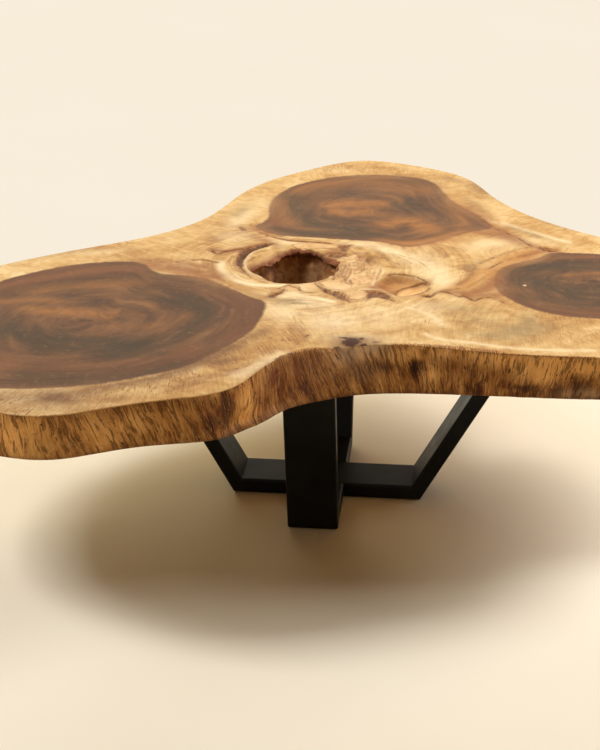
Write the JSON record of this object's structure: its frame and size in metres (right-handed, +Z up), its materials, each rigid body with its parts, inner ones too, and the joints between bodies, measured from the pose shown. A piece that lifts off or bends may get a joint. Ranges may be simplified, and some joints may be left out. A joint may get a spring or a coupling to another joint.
{
  "type": "live edge table",
  "caption": "Low live edge table: a cross-cut wooden slab of grown-together stems with a natural hole, bolted to a crossed base of black steel tube with splayed, mitred legs",
  "frame": {"origin": "on the floor, under the middle of the slab's bounding box", "axes": "+X to the right and +Y to the rear as seen from the front leg, +Z up"},
  "size_m": [1.6233, 1.4503, 0.452],
  "materials": {
    "wood": "clear satin",
    "black_steel": "satin powder coat",
    "zinc_steel": "zinc plated",
    "brass": "plain",
    "glide": "matte"
  },
  "bodies": {
    "root": {"slab_top": "wood", "cross_foot_tube": "black_steel", "front_foot_tube": "black_steel", "rear_foot_tube": "black_steel", "left_leg_tube": "black_steel", "right_leg_tube": "black_steel", "front_leg_tube": "black_steel", "rear_leg_tube": "black_steel", "left_mounting_plate": "black_steel", "right_mounting_plate": "black_steel", "front_mounting_plate": "black_steel", "rear_mounting_plate": "black_steel", "left_plate_bolts": "zinc_steel", "right_plate_bolts": "zinc_steel", "front_plate_bolts": "zinc_steel", "rear_plate_bolts": "zinc_steel", "left_plate_washers": "zinc_steel", "right_plate_washers": "zinc_steel", "front_plate_washers": "zinc_steel", "rear_plate_washers": "zinc_steel", "left_plate_inserts": "brass", "right_plate_inserts": "brass", "front_plate_inserts": "brass", "rear_plate_inserts": "brass", "left_floor_glide": "glide", "right_floor_glide": "glide", "front_floor_glide": "glide", "rear_floor_glide": "glide"}
  },
  "joints": []
}
